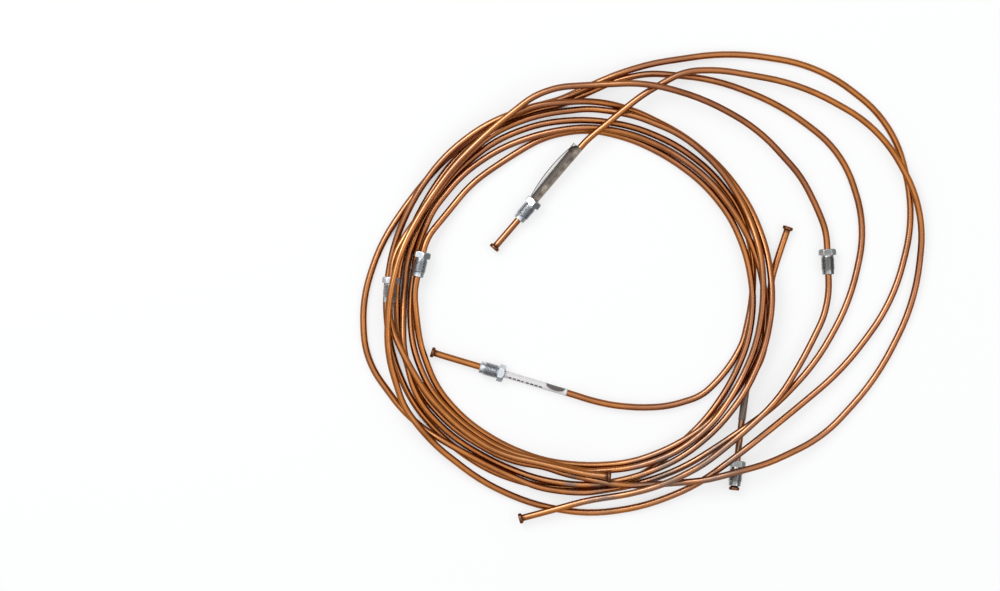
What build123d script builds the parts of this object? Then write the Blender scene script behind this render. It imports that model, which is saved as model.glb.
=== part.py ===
from build123d import *
import math
import os

# Copper tube coil: three lengths of copper brake tube wound together in loose turns that lie flat
# on a floor. Both ends of every tube are flared, and a loose steel tube nut waits near each end.
# Millimetres, +Z up.

# Tube
TUBE_DIAMETER = 4.75
TUBE_WALL = 0.7
TUBE_RADIUS = TUBE_DIAMETER / 2
BORE_RADIUS = TUBE_RADIUS - TUBE_WALL
BORE_DEPTH = 8.0

# The turns are laid out in lanes across the coil and layers up from the floor. One lane or layer
# is one tube and a small gap, so turns one step apart lie beside or on each other untouched.
GAP = 0.2
STEP = TUBE_DIAMETER + GAP
INNER_TURN_RADIUS = 118.1
EYE_X = -39.7
EYE_Y = -9.4

# Flared tube end
FLARE_LIP = 1.375
FLARE_THICKNESS = 2.0
FLARE_ROUNDING = 0.7
FLARE_NECK = 0.9
FLARE_MOUTH_LIP = 1.125
FLARE_MOUTH_DEPTH = 1.6
FLARE_RADIUS = TUBE_RADIUS + FLARE_LIP
FLARE_MOUTH_RADIUS = BORE_RADIUS + FLARE_MOUTH_LIP

# Tube nut with an M10 thread, 11 mm across the flats
HEX_FLATS = 11.0
HEX_LENGTH = 4.6
HEX_ROUNDING = 1.7
NECK_RADIUS = 4.3
NECK_LENGTH = 1.2
THREAD_RADIUS = 5.0
THREAD_LENGTH = 9.5
THREAD_CHAMFER = 0.5
LEAD_RADIUS = 4.3
LEAD_LENGTH = 3.2
LEAD_CHAMFER = 0.4
SEAT_RADIUS = 3.5
SEAT_DEPTH = 1.0
NUT_LENGTH = HEX_LENGTH + NECK_LENGTH + THREAD_LENGTH + LEAD_LENGTH
NUT_BORE_RADIUS = TUBE_RADIUS + 0.14

# Stuck-on labels: a sleeve round the tube, and on two of them a flap that stands off it
LABEL_THICKNESS = 0.25
LABEL_BORE_RADIUS = TUBE_RADIUS + 0.05
LABEL_RADIUS = LABEL_BORE_RADIUS + LABEL_THICKNESS
FLAP_SHARE = 0.94
SILVER_FLAP_WIDTH = 4.5
SILVER_FLAP_ANGLE = -120
WHITE_FLAP_WIDTH = 2.0
WHITE_FLAP_ANGLE = 100

# Where the loose nuts and the labels sit along their straights. On the long tube's arm the nut
# comes before the label, and on the middle tube's arm after it. The short tube's end nut waits
# behind the flare. The other three are in the middle of theirs.
LONG_ARM_BEARING = 139.1
LONG_ARM_NUT_AT = 20.4
SILVER_LABEL_GAP = 2.35
SILVER_LABEL_LENGTH = 47.0
SILVER_LABEL_AT = LONG_ARM_NUT_AT + NUT_LENGTH / 2 + SILVER_LABEL_GAP
MIDDLE_ARM_BEARING = -1178.4
WHITE_LABEL_AT = 5.5
WHITE_LABEL_LENGTH = 44.5
WHITE_LABEL_GAP = 2.25
MIDDLE_ARM_NUT_AT = WHITE_LABEL_AT + WHITE_LABEL_LENGTH + WHITE_LABEL_GAP + NUT_LENGTH / 2
LONG_LOOP_BEARING = -1064
MIDDLE_RING_BEARING = -183
SHORT_RING_BEARING = -174
GREY_LABEL_BEARING = -748.3
GREY_LABEL_AT = 8.2
GREY_LABEL_LENGTH = 14.5
END_NUT_GAP = 0.1
END_NUT_FROM_END = FLARE_THICKNESS + FLARE_NECK + END_NUT_GAP + NUT_LENGTH / 2

# Routes. A row is the bearing from the coil's eye in degrees, the lane and the layer of a place
# that the tube passes. The bearing keeps falling as the tube runs clockwise round the coil, 360
# for each turn, and a lane below zero lies inside the eye.
LONG_TUBE = [
    (151.6, -8.19, 0.53), (139.1, -8.56, 0.65), (90.1, -0.59, 1.92), (84.1, 1.79, 2.19),
    (78, 5.1, 2.23), (74.5, 7.25, 2.2), (67, 11.95, 2.1), (60, 14.5, 1.8), (45, 19.8, 1.5),
    (30, 24.7, 1.2), (15, 26.0, 0.9), (0, 23.3, 0.2), (-15, 19.35, 0.1), (-30, 15.4, 0.6),
    (-42, 11.4, 1.9), (-50, 8.9, 2.6), (-57, 7.3, 2.3), (-66, 5.3, 1.8), (-75, 4.0, 1.9),
    (-82, 3.1, 2.2), (-90, 2.1, 1.7), (-97, 1.7, 0.5), (-105, 1.3, 0.1), (-112, 1.75, 0.3),
    (-120, 2.2, 0.6), (-135, 3.0, 0.5), (-150, 3.8, 0), (-165, 4.1, 0), (-180, 4.0, 0), (-195, 3.95, 0),
    (-210, 3.75, 0), (-225, 4.2, 0), (-240, 4.9, 0), (-255, 4.8, 0), (-262, 4.9, 0), (-270, 6.3, 0.3),
    (-277, 8.2, 0.7), (-285, 10.1, 0.9), (-300, 12.9, 0.7), (-315, 15.75, 0.4), (-330, 18.3, 0),
    (-345, 17.45, 0), (-360, 14.0, 0), (-375, 10.35, 0.6), (-390, 7.15, 1.3), (-405, 4.8, 1.5),
    (-420, 4.1, 0.7), (-435, 3.85, 0.5), (-450, 4.1, 0.85), (-457, 4.2, 1.0), (-465, 4.25, 1.05),
    (-480, 4.2, 1.05), (-495, 5.4, 1.1), (-502, 6.5, 0.6), (-510, 7.5, 0.1), (-525, 9.2, 0),
    (-540, 8.65, 0), (-555, 7.2, 0), (-570, 5.75, 0), (-585, 5.25, 0.7), (-600, 5.1, 1.0),
    (-615, 5.3, 1.0), (-622, 5.6, 0.9), (-630, 7.15, 1.1), (-637, 9.1, 1.3), (-645, 11.6, 1.0),
    (-660, 17.35, 0.3), (-675, 23.4, 0), (-690, 26.55, 0), (-705, 24.75, 0), (-720, 20.1, 0),
    (-735, 14.35, 0.4), (-750, 9.65, 1.1), (-766, 7.4, 2.3), (-780, 7.2, 0.9), (-795, 7.1, 0.2),
    (-810, 7.1, 0), (-825, 6.8, 0), (-840, 6.6, 0.6), (-855, 6.65, 1.4), (-862, 6.8, 1.9),
    (-870, 6.9, 1.8), (-885, 6.1, 2.5), (-900, 4.9, 3.3), (-915, 4.1, 3.2), (-930, 3.4, 2.6),
    (-945, 3.6, 2.7), (-960, 4.5, 3.1), (-975, 6.6, 3.1), (-982, 7.2, 3.0), (-990, 7.25, 2.9),
    (-1005, 8.5, 3.3), (-1020, 9.6, 2.5), (-1035, 10.9, 1.5), (-1050, 11.8, 0.9), (-1058, 12.0, 0.75),
    (-1064, 12.05, 0.7), (-1078, 11.1, 0.7), (-1084, 10.45, 0.8), (-1095, 8.55, 1.2), (-1108, 7.1, 2.3),
    (-1122, 5.6, 2.5), (-1135, 5.2, 2.8), (-1145, 5.0, 2.9), (-1152, 4.9, 2.9), (-1159, 4.9, 2.2),
    (-1170, 5.3, 1.5), (-1179.5, 7.11, 1.06), (-1187.5, 9.54, 0.83),
]
MIDDLE_TUBE = [
    (20.1, 7.21, 0.49), (11.4, 4.19, 0.11), (6.2, 3.07, 0.01), (0, 2.6, 0), (-15, 2.1, 0),
    (-30, 1.5, 0), (-45, 1.2, 0.9), (-60, 0.7, 1.0), (-75, 0.5, 0.3), (-90, 0.2, 0), (-105, 0.3, 0),
    (-120, 0.5, 0.1), (-135, 1.0, 0.2), (-150, 1.45, 0.2), (-165, 1.3, 0.9), (-174, 1.2, 1.4),
    (-183, 1.3, 1.6), (-201, 1.05, 1.6), (-210, 0.3, 0.9), (-225, 0.0, 0.4), (-240, -0.2, 0.2),
    (-255, 0.55, 0), (-270, 0.8, 0), (-285, 0.3, 0), (-300, -0.1, 0.2), (-315, -0.1, 0.5),
    (-330, 0.0, 0.8), (-345, 0.0, 1.0), (-360, 0.1, 1.0), (-375, 0.1, 0.9), (-390, 0.1, 0.45),
    (-405, 0.5, 0), (-420, 1.3, 0), (-427, 2.1, 0), (-435, 2.85, 0), (-450, 3.3, 0), (-465, 4.1, 0),
    (-480, 4.7, 0), (-495, 5.15, 0), (-510, 5.6, 0), (-525, 5.65, 0), (-540, 5.5, 0), (-555, 5.4, 0),
    (-570, 5.35, 1.05), (-585, 5.5, 1.75), (-600, 5.5, 2.1), (-615, 5.3, 2.1), (-622, 5.1, 1.9),
    (-630, 5.0, 1.3), (-637, 4.8, 0.6), (-645, 4.35, 0.1), (-660, 3.75, 0), (-675, 3.4, 0.05),
    (-690, 3.25, 0.2), (-705, 3.0, 1.3), (-720, 2.8, 2.2), (-735, 2.6, 2.0), (-750, 2.5, 1.8),
    (-765, 2.5, 1.6), (-780, 2.65, 1.3), (-795, 2.7, 1.1), (-810, 3.0, 1.0), (-825, 3.1, 0.6),
    (-840, 3.3, 0.3), (-855, 4.05, 0.6), (-870, 4.65, 1.0), (-885, 3.8, 1.05), (-892, 3.3, 0.75),
    (-900, 2.95, 0.1), (-915, 2.95, 0), (-930, 2.65, 0), (-945, 2.7, 0.2), (-960, 2.8, 0.4),
    (-975, 2.6, 0.3), (-990, 2.3, 0.3), (-1005, 2.1, 0.3), (-1020, 2.0, 0.2), (-1035, 1.9, 0),
    (-1050, 1.7, 0), (-1065, 0.9, 0), (-1080, 0.0, 0), (-1095, -0.5, 0), (-1102, -0.9, 0),
    (-1110, -1.5, 0.1), (-1120, -2.35, 0.23), (-1132.7, -4.54, 0.33), (-1144.2, -6.49, 0.43),
    (-1157.1, -8.19, 0.53), (-1168.9, -9.31, 0.61), (-1178.4, -9.89, 0.65), (-1239.2, -1.14, 0.65),
    (-1241.7, 0.19, 0.65),
]
SHORT_TUBE = [
    (-82.7, 1.95, 3.0), (-90, 1.4, 2.7), (-105, 0.8, 2.1), (-120, 1.75, 1.7), (-135, 2.4, 1.7),
    (-150, 3.2, 1.75), (-163, 4.0, 2.1), (-174, 4.95, 1.7), (-192, 4.9, 1.6), (-201, 4.1, 1.4),
    (-210, 3.2, 1.1), (-225, 3.3, 1.0), (-240, 3.9, 1.0), (-255, 3.9, 0.6), (-270, 3.9, 0.5),
    (-277, 3.8, 0.7), (-285, 3.7, 1.0), (-300, 3.6, 1.1), (-315, 3.1, 1.1), (-330, 2.5, 1.05),
    (-345, 2.0, 2.1), (-360, 1.5, 2.15), (-375, 1.3, 1.7), (-390, 1.2, 1.3), (-405, 1.5, 1.95),
    (-420, 1.6, 1.5), (-435, 1.3, 1.0), (-450, 1.0, 0.7), (-457, 0.7, 1.1), (-465, 0.5, 1.1),
    (-480, 1.15, 0.9), (-495, 1.7, 0.9), (-510, 2.4, 0.9), (-525, 2.4, 0.4), (-540, 1.9, 0),
    (-555, 1.9, 0), (-562, 2.0, 0.7), (-570, 2.1, 0.95), (-585, 1.85, 0.8), (-600, 1.5, 0.6),
    (-615, 1.2, 0.8), (-630, 1.2, 1.0), (-645, 1.0, 0.8), (-660, 0.85, 0.6), (-675, 0.85, 1.0),
    (-690, 0.9, 1.3), (-705, 1.4, 1.1), (-720, 1.9, 1.1), (-735, 2.65, 1.0), (-740, 2.7, 0.95),
    (-748.3, 2.54, 0.69), (-759.8, 5.16, 0.51), (-772.5, 11.04, 0.85),
]




def stations(rows):
    points = []
    for bearing, lane, layer in rows:
        angle = math.radians(bearing)
        radius = INNER_TURN_RADIUS + lane * STEP
        x = EYE_X + radius * math.cos(angle)
        y = EYE_Y + radius * math.sin(angle)
        points.append(Vector(x, y, TUBE_RADIUS + layer * STEP))
    return points


def corners(points):
    # The bends round off the corners, so each corner is moved out by a quarter of its distance
    # from the line between its neighbours, and never below the floor.
    moved = [points[0]]
    for before, point, after in zip(points, points[1:], points[2:]):
        share = (point - before).length / ((point - before).length + (after - point).length)
        middle = before + (after - before) * share
        corner = point + (point - middle) * 0.25
        moved.append(Vector(corner.X, corner.Y, max(corner.Z, TUBE_RADIUS)))
    moved.append(points[-1])
    return moved


def bends(points):
    # Each bend takes up 0.45 of the shorter straight beside it.
    radii = []
    for before, corner, after in zip(points, points[1:], points[2:]):
        turn = (corner - before).get_angle(after - corner)
        shorter = min((corner - before).length, (after - corner).length)
        radii.append(0.45 * shorter / math.tan(math.radians(turn) / 2))
    return radii


def flare(end):
    # A thick, round-edged lip that is wider than the tube, with a short cone behind it.
    inner = BORE_RADIUS + TUBE_WALL / 2
    rim = make_face(Plane.XZ * Polyline(
        (inner, -FLARE_THICKNESS - FLARE_NECK),
        (TUBE_RADIUS, -FLARE_THICKNESS - FLARE_NECK),
        (FLARE_RADIUS, -FLARE_THICKNESS),
        (FLARE_RADIUS, 0),
        (inner, 0),
        close=True,
    ))
    edges = [v for v in rim.vertices() if v.X > FLARE_RADIUS - 0.01]
    return end * revolve(fillet(edges, FLARE_ROUNDING), Axis.Z)


def mouth(end):
    depth = FLARE_MOUTH_DEPTH + 0.2
    cone = Cone(BORE_RADIUS, FLARE_MOUTH_RADIUS, depth, align=(Align.CENTER, Align.CENTER, Align.MAX))
    return end * cone


def tube(points):
    # The bore is open at both ends and stops where the end's first straight does.
    path = FilletPolyline(*points, radius=bends(points))
    swept = sweep(Plane(origin=path @ 0, z_dir=path % 0) * Circle(TUBE_RADIUS), path=path)
    for end in (Plane(origin=path @ 0, z_dir=-(path % 0)), Plane(origin=path @ 1, z_dir=path % 1)):
        hole = Cylinder(BORE_RADIUS, BORE_DEPTH, align=(Align.CENTER, Align.CENTER, Align.MAX))
        swept += flare(end)
        swept -= end * hole
        swept -= mouth(end)
    return swept


def nearest(rows, bearing):
    return min(range(len(rows)), key=lambda i: abs(rows[i][0] - bearing))


def run(rows, bearing, distance, towards_start):
    # The plane at a distance along the straight that starts at the row with this bearing, with its
    # z axis along the tube. No distance means the middle of the straight, and one below zero is
    # measured back from its far end.
    points = corners(stations(rows))
    number = nearest(rows, bearing)
    a = points[number]
    b = points[number + 1]
    straight = (b - a).length
    along = (b - a).normalized()
    if distance is None:
        distance = straight / 2
    elif distance < 0:
        distance += straight
    across = Vector(0, 0, 1).cross(along).normalized()
    facing = -along if towards_start else along
    return Plane(origin=a + along * distance, x_dir=across, z_dir=facing)


def covered(rows, bearing, distance, length):
    # The stretch of a tube's middle line under a label, which follows the bend after the straight
    # where the label reaches that far.
    points = corners(stations(rows))
    number = nearest(rows, bearing)
    line = FilletPolyline(*points[number:number + 3], radius=bends(points)[number])
    return line.trim(distance / line.length, (distance + length) / line.length)


def nut(place, turned):
    # Local z points from the hexagon to the threaded end, and the middle of the nut is at zero.
    # With turned at 0 a corner points sideways and a flat faces the floor.
    bottom = (Align.CENTER, Align.CENTER, Align.MIN)
    buried = 0.5
    neck_at = HEX_LENGTH - buried / 2
    thread_at = HEX_LENGTH + NECK_LENGTH
    lead_at = thread_at + THREAD_LENGTH - buried
    corner_cone = HEX_FLATS / 2 + 0.1
    hexagon = extrude(RegularPolygon(HEX_FLATS / 2, 6, major_radius=False), HEX_LENGTH)
    hexagon &= Cone(corner_cone, corner_cone + HEX_LENGTH * HEX_ROUNDING, HEX_LENGTH, align=bottom)
    neck = Cylinder(NECK_RADIUS, NECK_LENGTH + buried, align=bottom)
    thread = chamfer(Cylinder(THREAD_RADIUS, THREAD_LENGTH, align=bottom).edges(), THREAD_CHAMFER)
    lead = Cylinder(LEAD_RADIUS, LEAD_LENGTH + buried, align=bottom)
    lead = chamfer(lead.edges().sort_by(Axis.Z)[-1], LEAD_CHAMFER)
    seat = Cone(NUT_BORE_RADIUS, SEAT_RADIUS, SEAT_DEPTH, align=(Align.CENTER, Align.CENTER, Align.MAX))
    body = hexagon + Pos(0, 0, neck_at) * neck + Pos(0, 0, thread_at) * thread + Pos(0, 0, lead_at) * lead
    body -= Cylinder(NUT_BORE_RADIUS, NUT_LENGTH, align=bottom)
    body -= Pos(0, 0, NUT_LENGTH) * seat
    return place * Rot(0, 0, turned) * Pos(0, 0, -NUT_LENGTH / 2) * body


def label(line, flap_width, flap_angle):
    # A flap leaves the sleeve as a flat strip that touches it at flap_angle past the top, and a
    # negative width sends it the other way.
    start = Plane(origin=line @ 0, x_dir=Vector(0, 0, 1).cross(line % 0), z_dir=line % 0)
    sleeve = sweep(start * (Circle(LABEL_RADIUS) - Circle(LABEL_BORE_RADIUS)), path=line)
    if flap_width:
        middle = LABEL_BORE_RADIUS + LABEL_THICKNESS / 2
        flap = Pos(flap_width / 2, middle, line.length / 2)
        flap *= Box(abs(flap_width), LABEL_THICKNESS, line.length * FLAP_SHARE)
        sleeve += start * Rot(0, 0, flap_angle) * flap
    return sleeve


# Places of the loose nuts
LONG_ARM_NUT_PLACE = run(LONG_TUBE, LONG_ARM_BEARING, LONG_ARM_NUT_AT, True)
LONG_LOOP_NUT_PLACE = run(LONG_TUBE, LONG_LOOP_BEARING, None, False)
MIDDLE_ARM_NUT_PLACE = run(MIDDLE_TUBE, MIDDLE_ARM_BEARING, MIDDLE_ARM_NUT_AT, False)
MIDDLE_RING_NUT_PLACE = run(MIDDLE_TUBE, MIDDLE_RING_BEARING, None, True)
SHORT_RING_NUT_PLACE = run(SHORT_TUBE, SHORT_RING_BEARING, None, True)
SHORT_END_NUT_PLACE = run(SHORT_TUBE, SHORT_TUBE[-2][0], -END_NUT_FROM_END, False)

# Stretches of tube under the labels
UNDER_SILVER = covered(LONG_TUBE, LONG_ARM_BEARING, SILVER_LABEL_AT, SILVER_LABEL_LENGTH)
UNDER_WHITE = covered(MIDDLE_TUBE, MIDDLE_ARM_BEARING, WHITE_LABEL_AT, WHITE_LABEL_LENGTH)
UNDER_GREY = covered(SHORT_TUBE, GREY_LABEL_BEARING, GREY_LABEL_AT, GREY_LABEL_LENGTH)

parts = {
    "long_tube": tube(corners(stations(LONG_TUBE))),
    "middle_tube": tube(corners(stations(MIDDLE_TUBE))),
    "short_tube": tube(corners(stations(SHORT_TUBE))),
    "long_tube_arm_nut": nut(LONG_ARM_NUT_PLACE, 20),
    "long_tube_loop_nut": nut(LONG_LOOP_NUT_PLACE, 0),
    "middle_tube_arm_nut": nut(MIDDLE_ARM_NUT_PLACE, 0),
    "middle_tube_ring_nut": nut(MIDDLE_RING_NUT_PLACE, 20),
    "short_tube_ring_nut": nut(SHORT_RING_NUT_PLACE, 0),
    "short_tube_end_nut": nut(SHORT_END_NUT_PLACE, 0),
    "silver_label": label(UNDER_SILVER, -SILVER_FLAP_WIDTH, SILVER_FLAP_ANGLE),
    "white_label": label(UNDER_WHITE, WHITE_FLAP_WIDTH, WHITE_FLAP_ANGLE),
    "grey_label": label(UNDER_GREY, 0, 0),
}

os.makedirs("parts", exist_ok=True)
for name, solid in parts.items():
    box = solid.bounding_box()
    print(name, "solids", len(solid.solids()), "valid", solid.is_valid, "volume", round(solid.volume, 1))
    print("   from", [round(v, 1) for v in box.min], "to", [round(v, 1) for v in box.max])
    export_step(solid, "parts/" + name + ".step")

for name, rows in (("long", LONG_TUBE), ("middle", MIDDLE_TUBE), ("short", SHORT_TUBE)):
    tightest = min(bends(corners(stations(rows))))
    print(name, "tube: tightest bend", round(tightest, 1), "mm, stations", len(rows))
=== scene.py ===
import math

import bpy
import numpy as np
from mathutils import Matrix, Vector


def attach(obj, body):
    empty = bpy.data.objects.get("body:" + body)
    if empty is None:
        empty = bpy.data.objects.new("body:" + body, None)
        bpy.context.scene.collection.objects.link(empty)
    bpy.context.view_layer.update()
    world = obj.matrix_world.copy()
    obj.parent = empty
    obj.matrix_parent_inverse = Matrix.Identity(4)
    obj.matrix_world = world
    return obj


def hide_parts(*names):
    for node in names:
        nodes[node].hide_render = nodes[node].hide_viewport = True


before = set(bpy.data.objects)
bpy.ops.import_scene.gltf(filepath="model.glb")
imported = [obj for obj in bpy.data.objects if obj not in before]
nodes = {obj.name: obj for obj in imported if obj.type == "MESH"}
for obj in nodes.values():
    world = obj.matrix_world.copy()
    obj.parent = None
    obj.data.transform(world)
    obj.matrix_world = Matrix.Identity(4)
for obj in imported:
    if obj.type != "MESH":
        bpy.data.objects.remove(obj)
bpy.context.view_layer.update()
scene = bpy.context.scene
scene.view_settings.view_transform = "Standard"


# The camera looks almost straight down, as the photograph does. Its picture spans 720 mm at the
# height of the coil, and the coil lies to the right of the picture's middle.
SENSOR_WIDTH = 36.0
PICTURE_WIDTH = 0.720
PICTURE_MIDDLE = (-0.1031, -0.0062)
CAMERA_HEIGHT = 3.0
COIL_HEIGHT = 0.008

camera_data = bpy.data.cameras.new("Camera")
camera_data.sensor_width = SENSOR_WIDTH
camera_data.lens = SENSOR_WIDTH * (CAMERA_HEIGHT - COIL_HEIGHT) / PICTURE_WIDTH
camera = bpy.data.objects.new("Camera", camera_data)
camera.location = (*PICTURE_MIDDLE, CAMERA_HEIGHT)
scene.collection.objects.link(camera)
scene.camera = camera


# The studio: a broad soft lamp at the upper left, a weaker one at the right, and a surround that
# dims towards the horizon, so that the tubes' flanks stay dark.
def node(tree, kind, links=None, **values):
    # A new node. links gives its sockets, by name or number, a value or another node's output.
    made = tree.nodes.new(kind)
    for name, value in values.items():
        setattr(made, name, value)
    for socket, source in (links or {}).items():
        if isinstance(source, bpy.types.NodeSocket):
            tree.links.new(source, made.inputs[socket])
        else:
            made.inputs[socket].default_value = source
    return made


def mapped(tree, value, start, end, least=0.0, most=1.0, smooth=False):
    # How far the value has come from start to end, as a number from least to most.
    limits = {"Value": value, "From Min": start, "From Max": end, "To Min": least, "To Max": most}
    shape = "SMOOTHSTEP" if smooth else "LINEAR"
    return node(tree, "ShaderNodeMapRange", limits, interpolation_type=shape).outputs[0]


SURROUND_COLOUR = (0.96, 0.98, 1.0, 1.0)
HORIZON_EDGE, HORIZON_STRENGTH = 0.45, 0.42
CEILING_EDGE, CEILING_STRENGTH = 0.97, 1.15

world = bpy.data.worlds.new("Surround")
scene.world = world
world.use_nodes = True
tree = world.node_tree
surround = tree.nodes["Background"]
surround.inputs["Color"].default_value = SURROUND_COLOUR
way = node(tree, "ShaderNodeTexCoord").outputs["Generated"]
height = node(tree, "ShaderNodeSeparateXYZ", {0: way}).outputs["Z"]
strength = mapped(tree, height, HORIZON_EDGE, CEILING_EDGE, HORIZON_STRENGTH, CEILING_STRENGTH, smooth=True)
tree.links.new(strength, surround.inputs["Strength"])

for name, place, size, power in (
    ("Upper left lamp", (-0.75, 0.75, 1.35), 0.9, 9.0),
    ("Right lamp", (1.05, -0.35, 1.25), 0.7, 2.2),
):
    lamp_data = bpy.data.lights.new(name, "AREA")
    lamp_data.size = size
    lamp_data.energy = power
    lamp = bpy.data.objects.new(name, lamp_data)
    lamp.location = place
    lamp.rotation_euler = (-Vector(place)).to_track_quat("-Z", "Y").to_euler()
    scene.collection.objects.link(lamp)


# The pale sheet under the coil. Its open parts glow for the camera, as the photograph's white
# ground does, and it keeps the coil's soft shadow and the dark of the slits between tubes.
def material(name):
    # A new material, its tree and its main shader.
    made = bpy.data.materials.new(name)
    made.use_nodes = True
    return made, made.node_tree, made.node_tree.nodes["Principled BSDF"]


def reckon(tree, operation, first, second=0.0, third=0.0):
    # A sum done on up to three numbers or other nodes' outputs.
    numbers = {0: first, 1: second, 2: third}
    return node(tree, "ShaderNodeMath", numbers, operation=operation).outputs[0]


SHEET_REACH = 4.0
SHEET_COLOUR = (0.95, 0.95, 0.95, 1.0)
SHEET_GLOW = 0.68
SLIT_REACH = 0.005
SLIT_OPENNESS, FLOOR_OPENNESS = 0.28, 0.48
WHITE = (1.0, 1.0, 1.0, 1.0)

sheet_mesh = bpy.data.meshes.new("Sheet")
corners = [(x * SHEET_REACH, y * SHEET_REACH, 0) for x, y in ((-1, -1), (1, -1), (1, 1), (-1, 1))]
sheet_mesh.from_pydata(corners, [], [(0, 1, 2, 3)])
sheet = bpy.data.objects.new("Sheet", sheet_mesh)
scene.collection.objects.link(sheet)

paper, tree, shader = material("Pale sheet")
shader.inputs["Base Color"].default_value = SHEET_COLOUR
shader.inputs["Roughness"].default_value = 0.9
shader.inputs["Specular IOR Level"].default_value = 0.1
ray = node(tree, "ShaderNodeLightPath")
seen = reckon(tree, "ADD", ray.outputs["Is Camera Ray"], ray.outputs["Is Glossy Ray"])
seen = reckon(tree, "ADD", seen, ray.outputs["Is Transmission Ray"])
# Ambient occlusion takes the glow off where tubes stand close, so the slits between them stay dark: painted
# shade between the tubes.
nearby = node(tree, "ShaderNodeAmbientOcclusion", {"Distance": SLIT_REACH}, samples=8)
open_floor = mapped(tree, nearby.outputs["AO"], SLIT_OPENNESS, FLOOR_OPENNESS, 0.0, SHEET_GLOW, smooth=True)
glow = reckon(tree, "MULTIPLY", seen, open_floor)
white = node(tree, "ShaderNodeEmission", {"Color": WHITE, "Strength": 1.0})
glowing = node(tree, "ShaderNodeMixShader", {0: glow, 1: shader.outputs[0], 2: white.outputs[0]})
tree.links.new(glowing.outputs[0], tree.nodes["Material Output"].inputs["Surface"])
sheet_mesh.materials.append(paper)


# Marks that handling leaves on bare metal, shared by copper and zinc: cloudy patches, fine
# speckle and short hairline scratches, all in the object's own coordinates.
SPECKLE_SCALE = 1400.0
SCRATCH_SCALE = 420.0
SCRATCH_STRETCH = (1.0, 1.0, 3.0)

marks = bpy.data.node_groups.new("Handling marks", "ShaderNodeTree")
marks.interface.new_socket(name="Patch scale", in_out="INPUT", socket_type="NodeSocketFloat")
for name in ("Patches", "Speckle", "Scratches"):
    marks.interface.new_socket(name=name, in_out="OUTPUT", socket_type="NodeSocketFloat")
patch_scale = node(marks, "NodeGroupInput").outputs["Patch scale"]
where = node(marks, "ShaderNodeTexCoord").outputs["Object"]
patches = node(marks, "ShaderNodeTexNoise",
               {"Vector": where, "Scale": patch_scale, "Detail": 5.0, "Roughness": 0.6})
speckle = node(marks, "ShaderNodeTexNoise", {"Vector": where, "Scale": SPECKLE_SCALE, "Detail": 3.0})
drawn = node(marks, "ShaderNodeMapping", {"Vector": where, "Scale": SCRATCH_STRETCH})
hairs = node(marks, "ShaderNodeTexNoise", {"Vector": drawn.outputs[0], "Scale": SCRATCH_SCALE,
                                           "Detail": 6.0, "Roughness": 0.75, "Distortion": 1.2})
scratches = mapped(marks, hairs.outputs[0], 0.60, 0.72)
node(marks, "NodeGroupOutput",
     {"Patches": patches.outputs[0], "Speckle": speckle.outputs[0], "Scratches": scratches})


# Copper tube: drawn and annealed, gold in some stretches and rosy in others, with a painted
# highlight along its crest and painted shade on its flanks. A few stretches have tarnished grey,
# and the copper round the six pressed flares is brown.
def blended(tree, share, first, second):
    # The first colour where the share is nought, and the second where it is one.
    colours = {0: share, 6: first, 7: second}
    return node(tree, "ShaderNodeMix", colours, data_type="RGBA").outputs[2]


def nearness(tree, where, spots):
    # How near the surface is to any spot. Each spot has a place, the distance at which it begins
    # to tell, and the distance at which it tells in full.
    nearest = 0.0
    for place, begins, full in spots:
        away = node(tree, "ShaderNodeVectorMath", {0: where, 1: place}, operation="DISTANCE")
        near = mapped(tree, away.outputs["Value"], begins, full, smooth=True)
        nearest = reckon(tree, "MAXIMUM", nearest, near)
    return nearest


GOLD = (0.545, 0.196, 0.053, 1.0)
ROSY = (0.375, 0.138, 0.063, 1.0)
BROWN_CLOUD, CLOUD_COVER = (0.18, 0.065, 0.020, 1.0), 0.55
# The next two colours are painted shade for the flanks and a painted highlight for the crest.
FLANK_PAINTED_SHADE, FLANK_SHADE_COVER = (0.13, 0.037, 0.007, 1.0), 0.76
CREST_PAINTED_HIGHLIGHT, HIGHLIGHT_COVER = (0.75, 0.43, 0.24, 1.0), 0.5
GREY_TARNISH, TARNISH_LEAST, TARNISH_COVER = (0.25, 0.175, 0.14, 1.0), 0.15, 0.90
FLARE_BROWN, FLARE_COVER = (0.13, 0.055, 0.03, 1.0), 0.82
FRESH_SCRATCH, SCRATCH_COVER = (0.85, 0.50, 0.28, 1.0), 0.35
COPPER_GLINT = (0.62, 0.36, 0.20, 1.0)
COPPER_SMOOTHEST, COPPER_ROUGHEST = 0.19, 0.38
COPPER_PATCH_SCALE = 55.0
# The way a surface faces where the painted highlight is strongest.
HIGHLIGHT_FACING = (-0.27, 0.27, 0.924)
FLARES = [(-0.1079, 0.0275, 0.0050), (-0.0894, -0.1671, 0.0065), (0.1047, 0.0435, 0.0048),
          (-0.1527, -0.0468, 0.0056), (-0.0235, -0.1361, 0.0172), (0.0655, -0.1465, 0.0066)]
FLARE_REACH, FLARE_FULL = 0.0058, 0.0042
TARNISHED = [((0.052, -0.122, 0.01), 0.040), ((0.012, -0.138, 0.01), 0.036), ((0.075, -0.100, 0.01), 0.024),
             ((-0.0513, -0.1405, 0.01), 0.009), ((-0.0325, -0.1506, 0.012), 0.026)]
TARNISH_FULL = 0.15

copper, tree, shader = material("Copper tube")
wear = node(tree, "ShaderNodeGroup", node_tree=marks)
wear.inputs["Patch scale"].default_value = COPPER_PATCH_SCALE
where = node(tree, "ShaderNodeTexCoord").outputs["Object"]
facing = node(tree, "ShaderNodeNewGeometry").outputs["Normal"]

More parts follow.
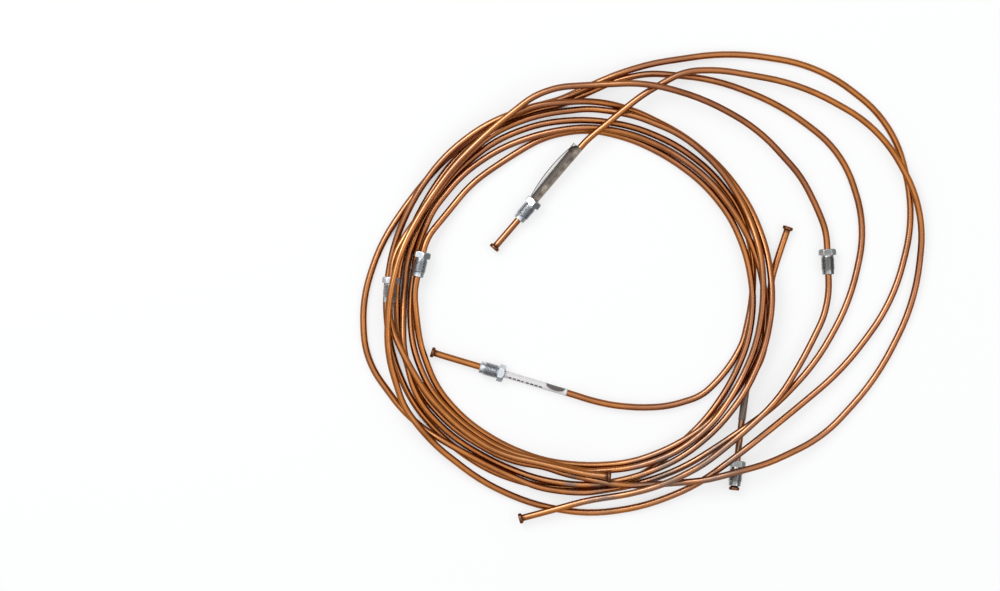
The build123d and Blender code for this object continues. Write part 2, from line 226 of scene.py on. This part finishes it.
drift = node(tree, "ShaderNodeTexNoise", {"Vector": where, "Scale": 9.0, "Detail": 2.0})
look = blended(tree, mapped(tree, drift.outputs[0], 0.42, 0.58), GOLD, ROSY)
cloud = mapped(tree, wear.outputs["Patches"], 0.42, 0.74, 0.0, CLOUD_COVER)
look = blended(tree, cloud, look, BROWN_CLOUD)
upright = node(tree, "ShaderNodeSeparateXYZ", {0: facing}).outputs["Z"]
# Painted shade: the copper darkens as its surface turns away from straight up.
painted_flank_shade = mapped(tree, upright, 0.86, 0.16, 0.0, FLANK_SHADE_COVER, smooth=True)
look = blended(tree, painted_flank_shade, look, FLANK_PAINTED_SHADE)
# Painted highlight: paler copper where the surface faces between the camera and the upper left lamp.
lit = node(tree, "ShaderNodeVectorMath", {0: facing, 1: HIGHLIGHT_FACING}, operation="DOT_PRODUCT")
painted_highlight = mapped(tree, lit.outputs["Value"], 0.90, 0.995, 0.0, HIGHLIGHT_COVER, smooth=True)
look = blended(tree, painted_highlight, look, CREST_PAINTED_HIGHLIGHT)
stretches = nearness(tree, where, [(place, reach, reach * TARNISH_FULL) for place, reach in TARNISHED])
blotches = mapped(tree, wear.outputs["Patches"], 0.34, 0.60, TARNISH_LEAST, TARNISH_COVER)
look = blended(tree, reckon(tree, "MULTIPLY", stretches, blotches), look, GREY_TARNISH)
at_flare = nearness(tree, where, [(place, FLARE_REACH, FLARE_FULL) for place in FLARES])
look = blended(tree, reckon(tree, "MULTIPLY", at_flare, FLARE_COVER), look, FLARE_BROWN)
scratched = reckon(tree, "MULTIPLY", wear.outputs["Scratches"], SCRATCH_COVER)
look = blended(tree, scratched, look, FRESH_SCRATCH)
tree.links.new(look, shader.inputs["Base Color"])

rough = mapped(tree, wear.outputs["Patches"], 0.35, 0.75, COPPER_SMOOTHEST, COPPER_ROUGHEST)
tree.links.new(rough, shader.inputs["Roughness"])
grain = reckon(tree, "ADD", wear.outputs["Speckle"], wear.outputs["Scratches"])
bump = node(tree, "ShaderNodeBump", {"Height": grain, "Strength": 0.07, "Distance": 0.0002})
tree.links.new(bump.outputs[0], shader.inputs["Normal"])
shader.inputs["Metallic"].default_value = 1.0
shader.inputs["Specular Tint"].default_value = COPPER_GLINT
for name in ("long_tube", "middle_tube", "short_tube"):
    nodes[name].material_slots[0].material = copper


# Tube nuts: zinc-plated steel, four bright and two dulled, each with an 11 mm hexagon with rounded
# corners, a relieved neck, an M10 x 1 rolled thread and a plain lead. A blank is turned, its flats
# are cut and its thread is rolled, and it is laid where its solid lies.
LAMP_FACING = (-0.50, 0.50, 0.707)
TURNED_AWAY, AWAY_COVER = (0.10, 0.105, 0.11, 1.0), 0.68
ZINC_ROUGHENS = 0.16
ZINC_PATCH_SCALE = 260.0


def zinc_plate(name, fresh, worn, groove_painted_light, edges, smoothest):
    # Plating with patches of fresh and worn zinc, a colour painted into the thread's grooves, which is
    # painted shade where it is darker than the plating and a painted reflection where it is lighter,
    # one for rubbed edges, and a darker one, painted shade, on sides that face away from the lamp.
    made, tree, shader = material(name)
    wear = node(tree, "ShaderNodeGroup", node_tree=marks)
    wear.inputs["Patch scale"].default_value = ZINC_PATCH_SCALE
    surface = node(tree, "ShaderNodeNewGeometry")
    look = blended(tree, mapped(tree, wear.outputs["Patches"], 0.4, 0.7), fresh, worn)
    # Painted light in the thread's grooves: shade where their colour is darker than the plating, a
    # reflection where it is lighter.
    look = blended(tree, mapped(tree, surface.outputs["Pointiness"], 0.40, 0.50), groove_painted_light, look)
    look = blended(tree, mapped(tree, surface.outputs["Pointiness"], 0.51, 0.56), look, edges)
    lit = node(tree, "ShaderNodeVectorMath",
               {0: surface.outputs["Normal"], 1: LAMP_FACING}, operation="DOT_PRODUCT")
    dim = mapped(tree, lit.outputs["Value"], 0.72, 0.0, 0.0, AWAY_COVER, smooth=True)
    tree.links.new(blended(tree, dim, look, TURNED_AWAY), shader.inputs["Base Color"])
    rough = mapped(tree, wear.outputs["Patches"], 0.35, 0.75, smoothest, smoothest + ZINC_ROUGHENS)
    tree.links.new(rough, shader.inputs["Roughness"])
    bump = node(tree, "ShaderNodeBump",
                {"Height": wear.outputs["Speckle"], "Strength": 0.08, "Distance": 0.0002})
    tree.links.new(bump.outputs[0], shader.inputs["Normal"])
    shader.inputs["Metallic"].default_value = 1.0
    return made


# The bright plating's grooves take painted shade, and the dull plating's a pale painted reflection that
# lightens its thread.
bright_zinc = zinc_plate("Bright zinc", fresh=(0.65, 0.68, 0.71, 1.0), worn=(0.51, 0.55, 0.59, 1.0),
                         groove_painted_light=(0.27, 0.29, 0.32, 1.0), edges=(0.86, 0.87, 0.89, 1.0), smoothest=0.24)
dull_zinc = zinc_plate("Dull zinc", fresh=(0.30, 0.30, 0.29, 1.0), worn=(0.20, 0.20, 0.19, 1.0),
                       groove_painted_light=(0.62, 0.62, 0.60, 1.0), edges=(0.56, 0.56, 0.54, 1.0), smoothest=0.15)

# The blank's outline runs from the back of the head to the tip of the lead and back through the
# bore. Each point is a place along the axis, from the nut's middle, and a radius, in mm. The
# thread is turned to its crest here, in rows close enough for its ridge.
BORE = 2.515
PITCH = 1.0
CREST = 5.0
THREAD_ROWS = 94
ROWS_A_PITCH = 10
COLUMNS = 72
head = [(-9.25, BORE), (-9.25, 2.9), (-9.25, 4.9), (-9.17, 5.25), (-9.0, 5.5), (-8.6, 6.0), (-8.2, 6.6),
        (-6.9, 6.6), (-5.3, 6.6), (-4.85, 6.3), (-4.65, 6.05), (-4.65, 4.7)]
neck = [(-4.6, 4.35), (-3.5, 4.3), (-3.4, 4.35)]
thread = [(-3.3 + row * PITCH / ROWS_A_PITCH, CREST) for row in range(THREAD_ROWS)]
lead = [(6.15, 4.35), (6.3, 4.3), (8.85, 4.3), (9.15, 4.1), (9.25, 3.9), (9.25, 3.5), (8.25, BORE)]
outline = head + neck + thread + lead

turned_points = []
turned_faces = []
for row, (station, radius) in enumerate(outline):
    ahead = (row + 1) % len(outline)
    for column in range(COLUMNS):
        beside = (column + 1) % COLUMNS
        angle = 2 * math.pi * column / COLUMNS
        point = Vector((radius * math.cos(angle), radius * math.sin(angle), station)) / 1000
        turned_points.append(point)
        turned_faces.append((row * COLUMNS + column, row * COLUMNS + beside,
                             ahead * COLUMNS + beside, ahead * COLUMNS + column))
blank = bpy.data.meshes.new("Nut blank")
blank.from_pydata(turned_points, [], turned_faces)

# The tree cuts the flats and rolls the thread, with its sizes in metres. The ridge climbs a pitch a
# turn, rises over the run-in and sinks over the run-out, and a short end on either side stays as
# it is turned. The ridge's foot and top are parts of a pitch from its middle.
CUTS = {
    "Across flats": 0.011,
    "Pitch": PITCH / 1000,
    "Root radius": 0.00438,
    "Crest radius": CREST / 1000,
    "Thread start": -0.0035,
    "Thread end": 0.0062,
    "Run-in": 0.0009,
    "Run-out": 0.0007,
    "Plain end": 0.00015,
}
RIDGE_FOOT, RIDGE_TOP = 5 / 12, 1 / 12

cutting = bpy.data.node_groups.new("Flats and thread", "GeometryNodeTree")
cutting.interface.new_socket(name="Blank", in_out="INPUT", socket_type="NodeSocketGeometry")
cut_sockets = {}
for name in CUTS:
    socket = cutting.interface.new_socket(name=name, in_out="INPUT", socket_type="NodeSocketFloat")
    cut_sockets[name] = socket.identifier
plating = cutting.interface.new_socket(name="Plating", in_out="INPUT", socket_type="NodeSocketMaterial")
cutting.interface.new_socket(name="Nut", in_out="OUTPUT", socket_type="NodeSocketGeometry")
asked = node(cutting, "NodeGroupInput").outputs
place = node(cutting, "GeometryNodeInputPosition").outputs[0]
x, y, z = node(cutting, "ShaderNodeSeparateXYZ", {0: place}).outputs
angle = reckon(cutting, "ARCTAN2", y, x)
turned = reckon(cutting, "SQRT", reckon(cutting, "MULTIPLY_ADD", x, x, reckon(cutting, "MULTIPLY", y, y)))

off_flat = reckon(cutting, "SUBTRACT", reckon(cutting, "FLOORED_MODULO", angle, math.pi / 3), math.pi / 6)
half_flats = reckon(cutting, "MULTIPLY", asked["Across flats"], 0.5)
flat = reckon(cutting, "DIVIDE", half_flats, reckon(cutting, "COSINE", off_flat))
milled = reckon(cutting, "MINIMUM", turned, flat)

climbed = reckon(cutting, "DIVIDE", z, asked["Pitch"])
turn = reckon(cutting, "FRACT", reckon(cutting, "MULTIPLY_ADD", angle, -0.5 / math.pi, climbed))
off_crest = reckon(cutting, "ABSOLUTE", reckon(cutting, "SUBTRACT", turn, 0.5))
ridge = mapped(cutting, off_crest, RIDGE_FOOT, RIDGE_TOP)
full_from = reckon(cutting, "ADD", asked["Thread start"], asked["Run-in"])
full_to = reckon(cutting, "SUBTRACT", asked["Thread end"], asked["Run-out"])
risen = mapped(cutting, z, asked["Thread start"], full_from)
not_sunk = mapped(cutting, z, asked["Thread end"], full_to)
ridge = reckon(cutting, "MULTIPLY", ridge, reckon(cutting, "MULTIPLY", risen, not_sunk))
depth = reckon(cutting, "SUBTRACT", asked["Crest radius"], asked["Root radius"])
rolled = reckon(cutting, "MULTIPLY_ADD", ridge, depth, asked["Root radius"])

rolled_from = reckon(cutting, "ADD", asked["Thread start"], asked["Plain end"])
rolled_to = reckon(cutting, "SUBTRACT", asked["Thread end"], asked["Plain end"])
past_neck = reckon(cutting, "GREATER_THAN", z, rolled_from)
before_lead = reckon(cutting, "LESS_THAN", z, rolled_to)
threaded = reckon(cutting, "MULTIPLY", past_neck, before_lead)
radius = node(cutting, "GeometryNodeSwitch",
              {"Switch": threaded, "False": milled, "True": rolled}, input_type="FLOAT").outputs[0]
new_x = reckon(cutting, "MULTIPLY", radius, reckon(cutting, "COSINE", angle))
new_y = reckon(cutting, "MULTIPLY", radius, reckon(cutting, "SINE", angle))
moved = node(cutting, "ShaderNodeCombineXYZ", {0: new_x, 1: new_y, 2: z}).outputs[0]
shaped = node(cutting, "GeometryNodeSetPosition", {"Geometry": asked["Blank"], "Position": moved})
whole = node(cutting, "GeometryNodeRealizeInstances", {"Geometry": shaped.outputs[0]})
plated = node(cutting, "GeometryNodeSetMaterial",
              {"Geometry": whole.outputs[0], "Material": asked["Plating"]})
node(cutting, "NodeGroupOutput", {"Nut": plated.outputs[0]})

NUT_END_DEPTH = 0.0003
NUT_CORNER_DEPTH = 0.0002
SHARP_EDGE = math.radians(32)


def solid_points(name):
    # The corners of a node's solid, each once.
    points = np.empty(len(nodes[name].data.vertices) * 3)
    nodes[name].data.vertices.foreach_get("co", points)
    return np.unique(points.reshape(-1, 3).round(7), axis=0)


def end_middles(points, way, depth):
    # The middles of a long solid's two ends, from the points that lie no deeper than depth.
    reach = points @ way
    return points[reach < reach.min() + depth].mean(0), points[reach > reach.max() - depth].mean(0)


def turned_frame(name):
    # The middle of a turned solid, its long axis towards the thinner end, and a corner's direction.
    points = solid_points(name)
    away = points - points.mean(0)
    ways = np.linalg.eigh(np.cov(away.T))[1].T
    spreads = [np.linalg.norm(away - np.outer(away @ way, way), axis=1).max() for way in ways]
    first, last = end_middles(points, ways[int(np.argmin(spreads))], NUT_END_DEPTH)
    axis = (last - first) / np.linalg.norm(last - first)
    reach = (points - first) @ axis
    level = points - first - np.outer(reach, axis)
    spread = np.linalg.norm(level, axis=1)
    if reach[spread > spread.max() - NUT_CORNER_DEPTH].mean() > reach.mean():
        axis = -axis
    corner = level[np.argmax(spread)]
    return (first + last) / 2, axis, corner / np.linalg.norm(corner)


for name, zinc in (
    ("long_tube_arm_nut", bright_zinc),
    ("long_tube_loop_nut", dull_zinc),
    ("middle_tube_arm_nut", bright_zinc),
    ("middle_tube_ring_nut", bright_zinc),
    ("short_tube_ring_nut", bright_zinc),
    ("short_tube_end_nut", dull_zinc),
):
    nut = bpy.data.objects.new(name + "_threaded", blank)
    scene.collection.objects.link(nut)
    cut = nut.modifiers.new("Flats and thread", "NODES")
    cut.node_group = cutting
    for cut_name, size in CUTS.items():
        cut[cut_sockets[cut_name]] = size
    cut[plating.identifier] = zinc
    mesh = bpy.data.meshes.new_from_object(nut.evaluated_get(bpy.context.evaluated_depsgraph_get()))
    mesh.name = nut.name
    nut.modifiers.remove(cut)
    nut.data = mesh
    middle, axis, corner = turned_frame(name)
    lie = np.eye(4)
    lie[:3] = np.column_stack([corner, np.cross(axis, corner), axis, middle])
    mesh.transform(Matrix(lie.tolist()))
    mesh.shade_smooth()
    mesh.set_sharp_from_angle(angle=SHARP_EDGE)
    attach(nut, "root")
    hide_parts(name)


# Labels: one strip of thin film each, cut by hand, wound round its tube and stuck to itself. The
# silver one is a flag whose two plies have sprung apart, the white one has dashes printed on it
# and a dark leaf peeled up, and the grey one is wrapped plainly.
BENT_SHADE = (0.055, 0.042, 0.034, 1.0)


def film(name, base, dark, metallic, roughness, streaks, shaded=0.0):
    # Film with streaks along the strip. shaded is how much the far edge of its width darkens.
    made, tree, shader = material(name)
    laid = node(tree, "ShaderNodeUVMap", uv_map="Strip").outputs[0]
    streaked = node(tree, "ShaderNodeMapping", {"Vector": laid, "Scale": (3.0, streaks, 1.0)})
    fine = node(tree, "ShaderNodeTexNoise",
                {"Vector": streaked.outputs[0], "Scale": 1.0, "Detail": 6.0, "Roughness": 0.7})
    look = blended(tree, mapped(tree, fine.outputs[0], 0.36, 0.66), base, dark)
    across = node(tree, "ShaderNodeSeparateXYZ", {0: laid}).outputs["X"]
    broad = node(tree, "ShaderNodeMapping", {"Vector": laid, "Scale": (1.5, 7.0, 1.0)})
    uneven = node(tree, "ShaderNodeTexNoise", {"Vector": broad.outputs[0], "Scale": 1.0, "Detail": 4.0})
    edge = reckon(tree, "MULTIPLY_ADD", uneven.outputs[0], 0.6, across)
    bent = mapped(tree, edge, 0.84, 1.14, 0.0, shaded, smooth=True)
    tree.links.new(blended(tree, bent, look, BENT_SHADE), shader.inputs["Base Color"])
    bump = node(tree, "ShaderNodeBump", {"Height": fine.outputs[0], "Strength": 0.2, "Distance": 0.0001})
    tree.links.new(bump.outputs[0], shader.inputs["Normal"])
    shader.inputs["Roughness"].default_value = roughness
    shader.inputs["Metallic"].default_value = metallic
    return made


silver_film = film("Silver film", (0.52, 0.45, 0.365, 1.0), (0.20, 0.155, 0.115, 1.0),
                   metallic=0.5, roughness=0.38, streaks=260.0, shaded=0.94)
white_film = film("White film", (0.78, 0.755, 0.76, 1.0), (0.68, 0.655, 0.66, 1.0),
                  metallic=0.0, roughness=0.5, streaks=60.0)
flag_inside = film("Flag's white side", (0.92, 0.91, 0.90, 1.0), (0.86, 0.85, 0.84, 1.0),
                   metallic=0.0, roughness=0.6, streaks=60.0)
grey_film = film("Grey-brown film", (0.215, 0.160, 0.120, 1.0), (0.12, 0.088, 0.066, 1.0),
                 metallic=0.3, roughness=0.5, streaks=120.0)
# The film's dark back, shown by the white label's leaf, also serves as painted shade on the silver label's
# rim.
dark_side_and_edge_shade = film("Film's dark side and painted edge shade", (0.16, 0.135, 0.125, 1.0), (0.10, 0.085, 0.08, 1.0),
                 metallic=0.2, roughness=0.45, streaks=90.0)
print_ink = film("Printed dashes", (0.03, 0.028, 0.027, 1.0), (0.05, 0.045, 0.04, 1.0),
                 metallic=0.0, roughness=0.5, streaks=90.0)

# Sizes of the strips' sections, in mm across the tube. A share is a part of the strip's length.
FILM_RADIUS = 2.45
LAP_RISE, LAP_TURNS = 0.12, 1.06
SLEEVE_STEPS = 44
TOP_PLY_STEPS = 14


def on_tube(angle, radius):
    # A point of a section round the tube, in mm across it.
    return math.cos(angle) * radius, math.sin(angle) * radius


def ply(start, heading, width, bend, count):
    # The points of a free ply, in mm across the tube, that leaves it at start and bends as it goes.
    x, y = start
    points = []
    for step in range(count):
        heading += bend / count
        x += math.cos(heading) * width / count
        y += math.sin(heading) * width / count
        points.append((x, y))
    return points


def sleeve(ends_at, inner_radius=FILM_RADIUS):
    # Once round the tube and a little over itself, up to the angle at which it ends.
    spiral = []
    for step in range(SLEEVE_STEPS + 1):
        angle = ends_at - 2 * math.pi * LAP_TURNS * (1 - step / SLEEVE_STEPS)
        spiral.append(on_tube(angle, inner_radius + LAP_RISE * step / SLEEVE_STEPS))
    return spiral


FLAG_WIDTH, FLAG_WIDENS = 3.4, 1.6
FLAG_OPENS, FLAG_SHUT_SHARE, FLAG_FULLNESS = 2.3, 0.9, 0.8
FLAG_CURL, CURL_SHARE = 2.6, 0.14
FLAG_STEPS = 40
UNDER_PLY_STEPS = 9
UNDER_PLY_FROM, UNDER_PLY_HEADING, UNDER_PLY_BEND = math.radians(-60), math.radians(30), -0.25
TOP_PLY_FROM, TOP_PLY_HEADING, TOP_PLY_BEND = math.radians(75), math.radians(-12), -0.35


def silver_section(share):
    # The under ply, the way round the tube from below, and the top ply. Along the strip the plies
    # grow wider, stand apart in the middle, and the top one curls up near the far end.
    width = FLAG_WIDTH + FLAG_WIDENS * share
    apart = FLAG_OPENS * math.sin(math.pi * min(1, share / FLAG_SHUT_SHARE)) ** FLAG_FULLNESS
    curl = FLAG_CURL * max(0.0, share - (1 - CURL_SHARE)) / CURL_SHARE
    sweep = TOP_PLY_FROM - 2 * math.pi - UNDER_PLY_FROM
    angles = [UNDER_PLY_FROM + sweep * step / FLAG_STEPS for step in range(FLAG_STEPS + 1)]
    tube = [on_tube(angle, FILM_RADIUS) for angle in angles]
    under = ply(tube[0], UNDER_PLY_HEADING, width + apart, UNDER_PLY_BEND, UNDER_PLY_STEPS)
    top = ply(tube[-1], TOP_PLY_HEADING, width, TOP_PLY_BEND + curl, TOP_PLY_STEPS)
    return under[::-1] + tube + top


LEAF_FROM, LEAF_HEADING, LEAF_BEND = math.radians(-5), math.radians(83), 1.35
LEAF_START_SHARE, LEAF_SHARE = 0.63, 0.36
LEAF_LIFT, LEAF_FULLNESS, LEAST_LIFT = 6.6, 0.6, 0.1


def white_section(share):
    # Once round the tube, with a leaf-shaped lift near the strip's far end.
    along_leaf = min(1.0, max(0.0, (share - LEAF_START_SHARE) / LEAF_SHARE))
    lift = LEAF_LIFT * max(0.0, math.sin(math.pi * along_leaf)) ** LEAF_FULLNESS + LEAST_LIFT
    wrap = sleeve(LEAF_FROM)
    return wrap + ply(wrap[-1], LEAF_HEADING, lift, LEAF_BEND, TOP_PLY_STEPS)


GREY_FILM_RADIUS = 2.56
GREY_FILM_ENDS_AT = math.radians(100)


def grey_section(share):
    return sleeve(GREY_FILM_ENDS_AT, GREY_FILM_RADIUS)


# A strip's skins come in pairs, the outside first and then the inside. For a face in a row along
# the strip and a column round it, the next three functions name the pair by its outside skin.
PLAIN, DARK, PRINTED = 0, 2, 4
FILM_ROWS = 100
LEAF_ROWS = range(64, FILM_ROWS)
PRINT_ROWS = range(66)
PRINT_COLUMNS = range(16, 19)
DASH_ROWS, DASH_EVERY = 5, 7
WORD_GAP_ROWS, WORD_EVERY = 4, 31


def silver_skin(row, column):
    # The under ply's free edge is painted dark, a painted shade along its rim.
    return DARK if column == 0 else PLAIN


def white_skin(row, column):
    # The peeled leaf is dark, and the dashes run in groups along the top of the tube.
    if column > SLEEVE_STEPS + 2 and row in LEAF_ROWS:
        return DARK
    in_dash = row % DASH_EVERY < DASH_ROWS and row % WORD_EVERY >= WORD_GAP_ROWS
    return PRINTED if row in PRINT_ROWS and column in PRINT_COLUMNS and in_dash else PLAIN


def grey_skin(row, column):
    return PLAIN


FILM_THICKNESS = 0.00007
SLEEVE_END_DEPTH = 0.0004


def stick_on(name, heading, before, beyond, section, flipped, skins, skin_of):
    # heading is the way along the tube that counts as forwards, before and beyond are how far, in
    # mm, the strip runs past its solid's ends, and flipped is for a section that runs clockwise.
    points = solid_points(name)
    rough_way = np.linalg.eigh(np.cov((points - points.mean(0)).T))[1][:, 2]
    if rough_way @ np.array(heading) < 0:
        rough_way = -rough_way
    start, end = end_middles(points, rough_way, SLEEVE_END_DEPTH)
    along = (end - start) / np.linalg.norm(end - start)
    start = start - along * before / 1000
    end = end + along * beyond / 1000
    left = np.cross((0, 0, 1), along)
    left /= np.linalg.norm(left)
    up = np.cross(along, left)
    verts = []
    for row in range(FILM_ROWS + 1):
        share = row / FILM_ROWS
        middle = start + (end - start) * share
        for x, y in section(share):
            verts.append(tuple(middle + (left * x + up * y) / 1000))
    wide = len(section(0.5))
    faces = []
    for row in range(FILM_ROWS):
        for column in range(wide - 1):
            near = row * wide + column
            far = near + wide
            corners = (near, near + 1, far + 1, far)
            faces.append(corners[::-1] if flipped else corners)
    mesh = bpy.data.meshes.new(name + "_film")
    mesh.from_pydata(verts, [], faces)
    laid = mesh.uv_layers.new(name="Strip")
    for corner in mesh.loops:
        row, column = divmod(corner.vertex_index, wide)
        laid.data[corner.index].uv = (column / (wide - 1), row / FILM_ROWS)
    for skin in skins:
        mesh.materials.append(skin)
    for face in mesh.polygons:
        face.material_index = skin_of(*divmod(face.index, wide - 1))
    mesh.shade_smooth()
    strip = bpy.data.objects.new(name + "_film", mesh)
    scene.collection.objects.link(strip)
    thick = strip.modifiers.new("Thickness", "SOLIDIFY")
    thick.thickness = FILM_THICKNESS
    thick.offset = 0.0
    thick.material_offset = 1
    bpy.context.view_layer.objects.active = strip
    strip.select_set(True)
    bpy.ops.object.modifier_apply(modifier="Thickness")
    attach(strip, "root")
    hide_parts(name)


stick_on("silver_label", heading=(1, 1, 0), before=2.2, beyond=0.0, section=silver_section, flipped=True,
         skins=(silver_film, flag_inside, dark_side_and_edge_shade, dark_side_and_edge_shade), skin_of=silver_skin)
stick_on("white_label", heading=(1, 0, 0), before=2.1, beyond=0.0, section=white_section, flipped=False,
         skins=(white_film, white_film, dark_side_and_edge_shade, dark_side_and_edge_shade, print_ink, print_ink), skin_of=white_skin)
stick_on("grey_label", heading=(0, -1, 0), before=3.0, beyond=2.5, section=grey_section, flipped=False,
         skins=(grey_film, grey_film), skin_of=grey_skin)
